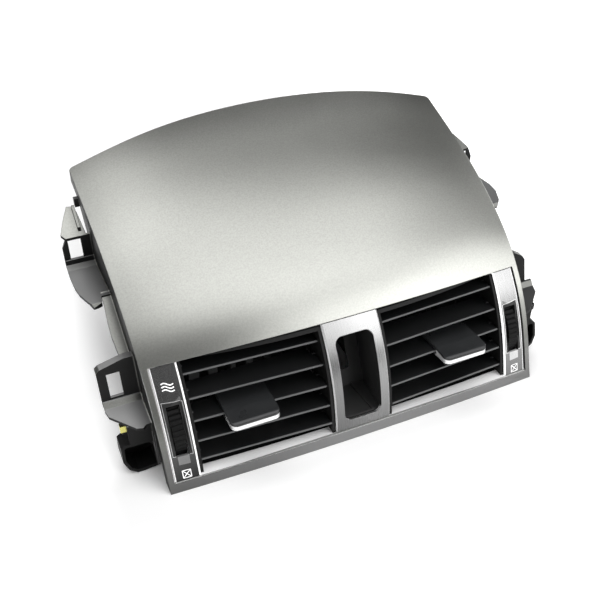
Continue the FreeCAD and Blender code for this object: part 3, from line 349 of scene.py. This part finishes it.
def panel_material():
    """Silver paint on the face, with bare black plastic on the sides, brackets and underside"""
    material, tree, paint = new_material("panel_paint")
    along = place_part(tree, "Y")
    height = place_part(tree, "Z")
    _, forward = normal_part(tree, "Y")
    side_facing, _ = normal_part(tree, "X")
    _, up_facing = normal_part(tree, "Z")

    # Face: darker at the rear and lighter at the front, as painted shade and painted light; dark where it
    # turns down and near the bottom, as painted shade
    flake = noise(tree, 900, 2.0, 0.8)
    speck = stepped(tree, flake.outputs["Fac"], 0.3, 0.7)
    face_grey = blended(tree, speck, silver(152), silver(164))
    painted_shade_rear_grey = blended(tree, speck, silver(118), silver(128))
    face_grey = blended(tree, stepped(tree, along, 0.06, 0.104), face_grey, painted_shade_rear_grey)
    painted_light_front_grey = blended(tree, speck, silver(165), silver(177))
    front_light_share = stepped(tree, combined(tree, "MULTIPLY", along, -1.0), 0.02, 0.08)
    face_grey = blended(tree, front_light_share, face_grey, painted_light_front_grey)
    painted_shade_low_grey = blended(tree, speck, silver(80), silver(90))
    painted_shade_low_grey = blended(tree, stepped(tree, height, 0.0, 0.06), silver(54), painted_shade_low_grey)
    face_grey = blended(tree, stepped(tree, smooth_up(tree), 0.2, 0.66), painted_shade_low_grey, face_grey)

    # Sill: its front painted darker, most on the left, as painted shade, and the level ledge before the
    # vents painted near white and matt, as painted light
    upright = stepped(tree, combined(tree, "MULTIPLY", forward, -1.0), 0.9, 0.97)
    sill_front = combined(tree, "MULTIPLY", upright, combined(tree, "LESS_THAN", height, 0.03))
    painted_shade_sill_grey = blended(tree, stepped(tree, place_part(tree, "X"), -0.14, 0.0), tint(104), tint(136))
    face_grey = blended(tree, sill_front, face_grey, painted_shade_sill_grey)
    level = stepped(tree, up_facing, 0.9, 0.98)
    painted_light_ledge = combined(tree, "MULTIPLY", level, combined(tree, "LESS_THAN", height, 0.02))

    # Brackets: what lies beyond the panel's sides
    across = combined(tree, "ABSOLUTE", place_part(tree, "X"), 0.0)
    outside = combined(tree, "SUBTRACT", across, combined(tree, "MULTIPLY", along, 0.025))
    beyond = stepped(tree, outside, 0.1409, 0.1416)
    painted_light_ledge = combined(tree, "MULTIPLY", painted_light_ledge, combined(tree, "SUBTRACT", 1.0, beyond))
    raised = combined(tree, "GREATER_THAN", height, 0.03)
    overspray_and_light_top = combined(tree, "MULTIPLY", combined(tree, "MULTIPLY", beyond, level), raised)
    on_right = combined(tree, "GREATER_THAN", place_part(tree, "X"), 0.0)
    # Upward bracket faces take a matt grey, paler on the left than the right: overspray, with painted
    # light on the tops and painted shade on the right
    face_grey = blended(tree, overspray_and_light_top, face_grey, blended(tree, on_right, tint(150), tint(80)))
    tree.links.new(blended(tree, painted_light_ledge, face_grey, tint(252)), paint.inputs["Base Color"])
    matt = combined(tree, "MAXIMUM", painted_light_ledge, overspray_and_light_top)
    tree.links.new(spread(tree, matt, 0.85, 0.0), paint.inputs["Metallic"])
    soft = noise(tree, 60, 3.0)
    tree.links.new(spread(tree, soft.outputs["Fac"], 0.27, 0.31), paint.inputs["Roughness"])
    fine = noise(tree, 1500, 2.0)
    bumped(tree, paint, fine.outputs["Fac"], 0.035, 0.0002, 0.0006)

    # Bare plastic, painted a little paler where it faces or lies to the rear, as painted light
    bare = tree.nodes.new("ShaderNodeBsdfPrincipled")
    cloud = noise(tree, 120, 3.0)
    bare_tone = blended(tree, cloud.outputs["Fac"], tint(12), tint(19))
    painted_light_behind = combined(tree, "MAXIMUM", stepped(tree, forward, 0.3, 0.6), stepped(tree, along, 0.055, 0.07))
    tree.links.new(blended(tree, painted_light_behind, bare_tone, tint(42)), bare.inputs["Base Color"])
    bare.inputs["Roughness"].default_value = 0.5
    bare.inputs["Specular IOR Level"].default_value = 0.2

    # Paint gives way on the sides and underside, and fades in as spray on the brackets
    sides = stepped(tree, side_facing, 0.55, 0.8)
    sprayed = combined(tree, "MULTIPLY", stepped(tree, up_facing, 0.3, 0.75), raised)
    misty = stepped(tree, outside, 0.139, 0.156)
    mist = combined(tree, "MULTIPLY", sprayed, spread(tree, misty, 0.4, 0.9))
    # Less spray on the right brackets, as painted shade
    mist = combined(tree, "MULTIPLY", mist, spread(tree, on_right, 1.0, 0.45))
    unpainted = combined(tree, "MULTIPLY", beyond, combined(tree, "SUBTRACT", 1.0, mist))
    under = stepped(tree, combined(tree, "MULTIPLY", up_facing, -1.0), 0.2, 0.5)
    share = combined(tree, "MAXIMUM", combined(tree, "MAXIMUM", sides, unpainted), under)
    both = layered(tree, share, paint.outputs["BSDF"], bare.outputs["BSDF"])
    tree.links.new(both, tree.nodes["Material Output"].inputs["Surface"])
    return material


def vane_material():
    """Black vane whose nose is painted a satin grey, a painted highlight on the edge that faces forwards
    """
    material, tree, shader = new_material("vane_plastic")
    # Forward-facing nose: painted highlight
    nose = stepped(tree, combined(tree, "MULTIPLY", own_forward(tree), -1.0), 0.35, 0.8)
    mixed_grey(tree, shader, nose, tint(24, -0.05), tint(88, -0.02))
    cloud = noise(tree, 90, 3.0)
    tree.links.new(spread(tree, cloud.outputs["Fac"], 0.34, 0.46), shader.inputs["Roughness"])
    fine = noise(tree, 900, 2.0)
    bumped(tree, shader, fine.outputs["Fac"], 0.08, 0.0003)
    return material


PAINT = panel_material()
VANE_BLACK = vane_material()
# The bar and the two strips share one silver finish; their greys differ as painted light and shade, the
# left strip darkest
BAR_PAINT = trim_paint("bar_paint", 182, 0.28, 190, 0.72, 0.86)
LEFT_STRIP_SHADED_PAINT = trim_paint("left_strip_paint", 150, 0.22, 250, 0.41, 0.66, 0.3)
RIGHT_STRIP_LIT_PAINT = trim_paint("right_strip_paint", 160, 0.26, 250, 0.76, 0.95, 0.55)
BLACK = plastic("black_plastic", 18, rough=0.45, specular=0.3)
DEEP_BLACK = housing_plastic()
POCKET_BLACK = plastic("pocket_plastic", 36, rough=0.4, specular=0.35)
KNOB_BLACK = plastic("knob_plastic", 44, rough=0.3, grain=0.08, warm=-0.05, specular=0.5, edge=0.0009)
WHEEL_BLACK = plastic("wheel_rubber", 8, rough=0.5, specular=0.15)
BRIGHT = lip_metal()
FOAM = plastic("foam", 40, rough=0.95, grain=0.8, scale=700)
ZINC = metal("zinc", (0.62, 0.63, 0.65, 1))
CLIP_STEEL = clip_steel()
WHITE_PRINT = plastic("white_print", 245, rough=0.6, grain=0.02)
print_shader = WHITE_PRINT.node_tree.nodes["Principled BSDF"]
# The print glows a little: painted light
print_shader.inputs["Emission Color"].default_value = (1, 1, 1, 1)
print_shader.inputs["Emission Strength"].default_value = 0.3


def material_for(node):
    """Material of a node, by its name"""
    if node == "top_panel":
        return PAINT
    if node == "centre_trim_bar":
        return BAR_PAINT
    if node == "left_trim_strip":
        return LEFT_STRIP_SHADED_PAINT
    if node == "right_trim_strip":
        return RIGHT_STRIP_LIT_PAINT
    if node.endswith("knob_trim"):
        return BRIGHT
    if node.endswith("knob"):
        return KNOB_BLACK
    if node.endswith("thumbwheel"):
        return WHEEL_BLACK
    if node.endswith("seal"):
        return FOAM
    if node == "housing_screws":
        return ZINC
    if node == "spring_clips":
        return CLIP_STEEL
    if "duct_housing" in node:
        return DEEP_BLACK
    if node == "centre_pocket":
        return POCKET_BLACK
    if "side_vane" in node or "damper" in node:
        return DEEP_BLACK
    if "link" in node or "lever" in node:
        return BLACK
    return VANE_BLACK


for node, piece in NODES.items():
    piece.data.materials.clear()
    piece.data.materials.append(material_for(node))


# Printed symbols on the trim strips

PRINT_LIFT = 0.04 * MM
PRINT_STEP = 0.4 * MM


def face_finder(node):
    """Function that gives the point and direction of a node's front at X, Z"""
    mesh = NODES[node].data
    tree = BVHTree.FromPolygons([v.co for v in mesh.vertices], [p.vertices for p in mesh.polygons])

    def at(x, z):
        point, normal, _, _ = tree.ray_cast(Vector((x, -1.0, z)), Vector((0, 1, 0)))
        return point, normal

    return at


def ribbon(lines, width, node, x0, z0):
    """Flat strokes along U, V lines in millimetres, laid on the node's front around x0, z0"""
    at = face_finder(node)
    _, normal = at(x0, z0)
    steep = Vector((0, -normal.z, normal.y)).normalized()
    if steep.z < 0:
        steep = -steep
    verts, faces = [], []
    for line in lines:
        points = [Vector(p) * MM for p in line]
        dense = []
        for a, b in zip(points, points[1:]):
            count = max(1, math.ceil((b - a).length / PRINT_STEP))
            dense += [a.lerp(b, k / count) for k in range(count)]
        dense.append(points[-1])
        start = len(verts)
        for k, point in enumerate(dense):
            ahead = dense[min(k + 1, len(dense) - 1)] - dense[max(k - 1, 0)]
            side = Vector((-ahead.y, ahead.x)).normalized() * width * MM / 2
            for u, v in (point + side, point - side):
                place, facing = at(x0 + u, z0 + v * steep.z)
                verts.append(place + facing * PRINT_LIFT)
        faces += [(start + 2 * k, start + 2 * k + 1, start + 2 * k + 3, start + 2 * k + 2)
                  for k in range(len(dense) - 1)]
    return verts, faces


def printed(name, parts, node):
    """One printed piece made of lines, width and place"""
    verts, faces = [], []
    for lines, width, x0, z0 in parts:
        more, quads = ribbon(lines, width, node, x0, z0)
        faces += [tuple(i + len(verts) for i in quad) for quad in quads]
        verts += more
    mesh = bpy.data.meshes.new(name)
    mesh.from_pydata(verts, [], faces)
    mesh.materials.append(WHITE_PRINT)
    piece = bpy.data.objects.new(name, mesh)
    bpy.context.scene.collection.objects.link(piece)
    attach(piece, "panel_unit")


def breeze():
    """Three lines that rise in a wave: air on"""
    steps = [k / 16 for k in range(17)]
    return [[(t * 7.6 - 3.8, row * 2.1 + 0.75 * math.sin(t * math.tau)) for t in steps]
            for row in (-1, 0, 1)]


def crossed_box():
    """Box with a cross: air off"""
    w, h = 2.7, 2.8
    frame_line = [(-w, -h), (w, -h), (w, h), (-w, h), (-w, -h)]
    return [frame_line, [(-w, -h), (w, h)], [(-w, h), (w, -h)]]


for side in ("left", "right"):
    low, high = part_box(side + "_trim_strip")
    middle = (low.x + high.x) / 2
    parts = [(crossed_box(), 0.55, middle, 10.6 * MM)]
    if side == "left":
        parts.append((breeze(), 0.75, middle, 66 * MM))
    printed(side + "_strip_print", parts, side + "_trim_strip")


# Stage

# Softboxes as azimuth, elevation, degrees from middle to soft edge and strength
# Azimuth runs from the front to the right
SOFTBOXES = [
    (45, 87, 38, 2.25),      # wide one overhead
    (0, 72, 20, 0.4),        # front, high
    (38, 50, 22, 1.8),       # front right, halfway up
    (26, 29, 22, 2.6),       # front, low
    (58, 26, 24, 3.0),       # front right, low
    (42, 10, 22, 1.1),       # front right, just above the floor
    (84, 54, 24, 1.0),       # right, halfway up
    (214, 60, 22, 1.5),      # rear left, high
    (154, 26, 20, 4.4),      # rear right, low
    (-52, 10, 20, 5.0),      # front left, just above the floor
    (104, 10, 20, 4.6),      # right, just above the floor
]


def floor():
    """Pale floor that glows a little away from the part, painted light that keeps it white there while
    shadows near the part stay
    """
    mesh = bpy.data.meshes.new("floor")
    size = 20.0
    corners = [(-size, -size, 0), (size, -size, 0), (size, size, 0), (-size, size, 0)]
    mesh.from_pydata(corners, [], [(0, 1, 2, 3)])
    piece = bpy.data.objects.new("floor", mesh)
    bpy.context.scene.collection.objects.link(piece)
    material, tree, shader = new_material("floor_white")
    cloud = noise(tree, 3, 2.0)
    mixed_grey(tree, shader, cloud.outputs["Fac"], tint(252), tint(254))
    shader.inputs["Roughness"].default_value = 0.9
    shader.inputs["Specular IOR Level"].default_value = 0.1
    # Painted light: emission beside and away from the part, none under or near it
    across = combined(tree, "ABSOLUTE", place_part(tree, "X"), 0.0)
    along = place_part(tree, "Y")
    beside = combined(tree, "MULTIPLY", stepped(tree, across, 0.138, 0.17),
                      stepped(tree, along, -0.085, -0.05))
    away = combined(tree, "MAXIMUM", stepped(tree, across, 0.168, 0.21),
                    stepped(tree, combined(tree, "MULTIPLY", along, -1.0), 0.112, 0.16))
    shader.inputs["Emission Color"].default_value = (1, 1, 1, 1)
    tree.links.new(spread(tree, combined(tree, "MAXIMUM", beside, away), 0.0, 0.4),
                   shader.inputs["Emission Strength"])
    mesh.materials.append(material)


def sky():
    """Dark studio lit by soft round boxes, with a plain white backdrop behind the object"""
    world = bpy.data.worlds.new("studio")
    bpy.context.scene.world = world
    world.use_nodes = True
    tree = world.node_tree
    place = tree.nodes.new("ShaderNodeTexCoord")
    total = 0.0
    for turn, lift, reach, strength in SOFTBOXES:
        turn, lift = math.radians(turn), math.radians(lift)
        dot = tree.nodes.new("ShaderNodeVectorMath")
        dot.operation = "DOT_PRODUCT"
        dot.inputs[1].default_value = (math.cos(lift) * math.sin(turn), -math.cos(lift) * math.cos(turn),
                                       math.sin(lift))
        tree.links.new(place.outputs["Generated"], dot.inputs[0])
        box = stepped(tree, dot.outputs["Value"], math.cos(math.radians(reach)), 1.0)
        total = combined(tree, "ADD", total, combined(tree, "MULTIPLY", box, strength))
    path = tree.nodes.new("ShaderNodeLightPath")
    tree.links.new(blended(tree, path.outputs["Is Camera Ray"], total, (1.0, 1.0, 1.0, 1.0)),
                   tree.nodes["Background"].inputs["Color"])


def camera():
    """Camera where the photo was taken from"""
    turn, lift = math.radians(-23.0843), math.radians(39.4375)
    back = Vector((math.sin(turn) * math.cos(lift), -math.cos(turn) * math.cos(lift), math.sin(lift)))
    right = Vector((math.cos(turn), math.sin(turn), 0))
    up = back.cross(right)
    data = bpy.data.cameras.new("camera")
    data.lens = 51.0
    data.sensor_width = 36.0
    piece = bpy.data.objects.new("camera", data)
    place = Vector((-196.8, -450.17, 446.7)) * MM
    spin = Matrix((right, up, back)).transposed().to_4x4()
    piece.matrix_world = Matrix.Translation(place) @ spin
    bpy.context.scene.collection.objects.link(piece)
    bpy.context.scene.camera = piece


floor()
sky()
camera()
bpy.context.scene.view_settings.view_transform = "Standard"
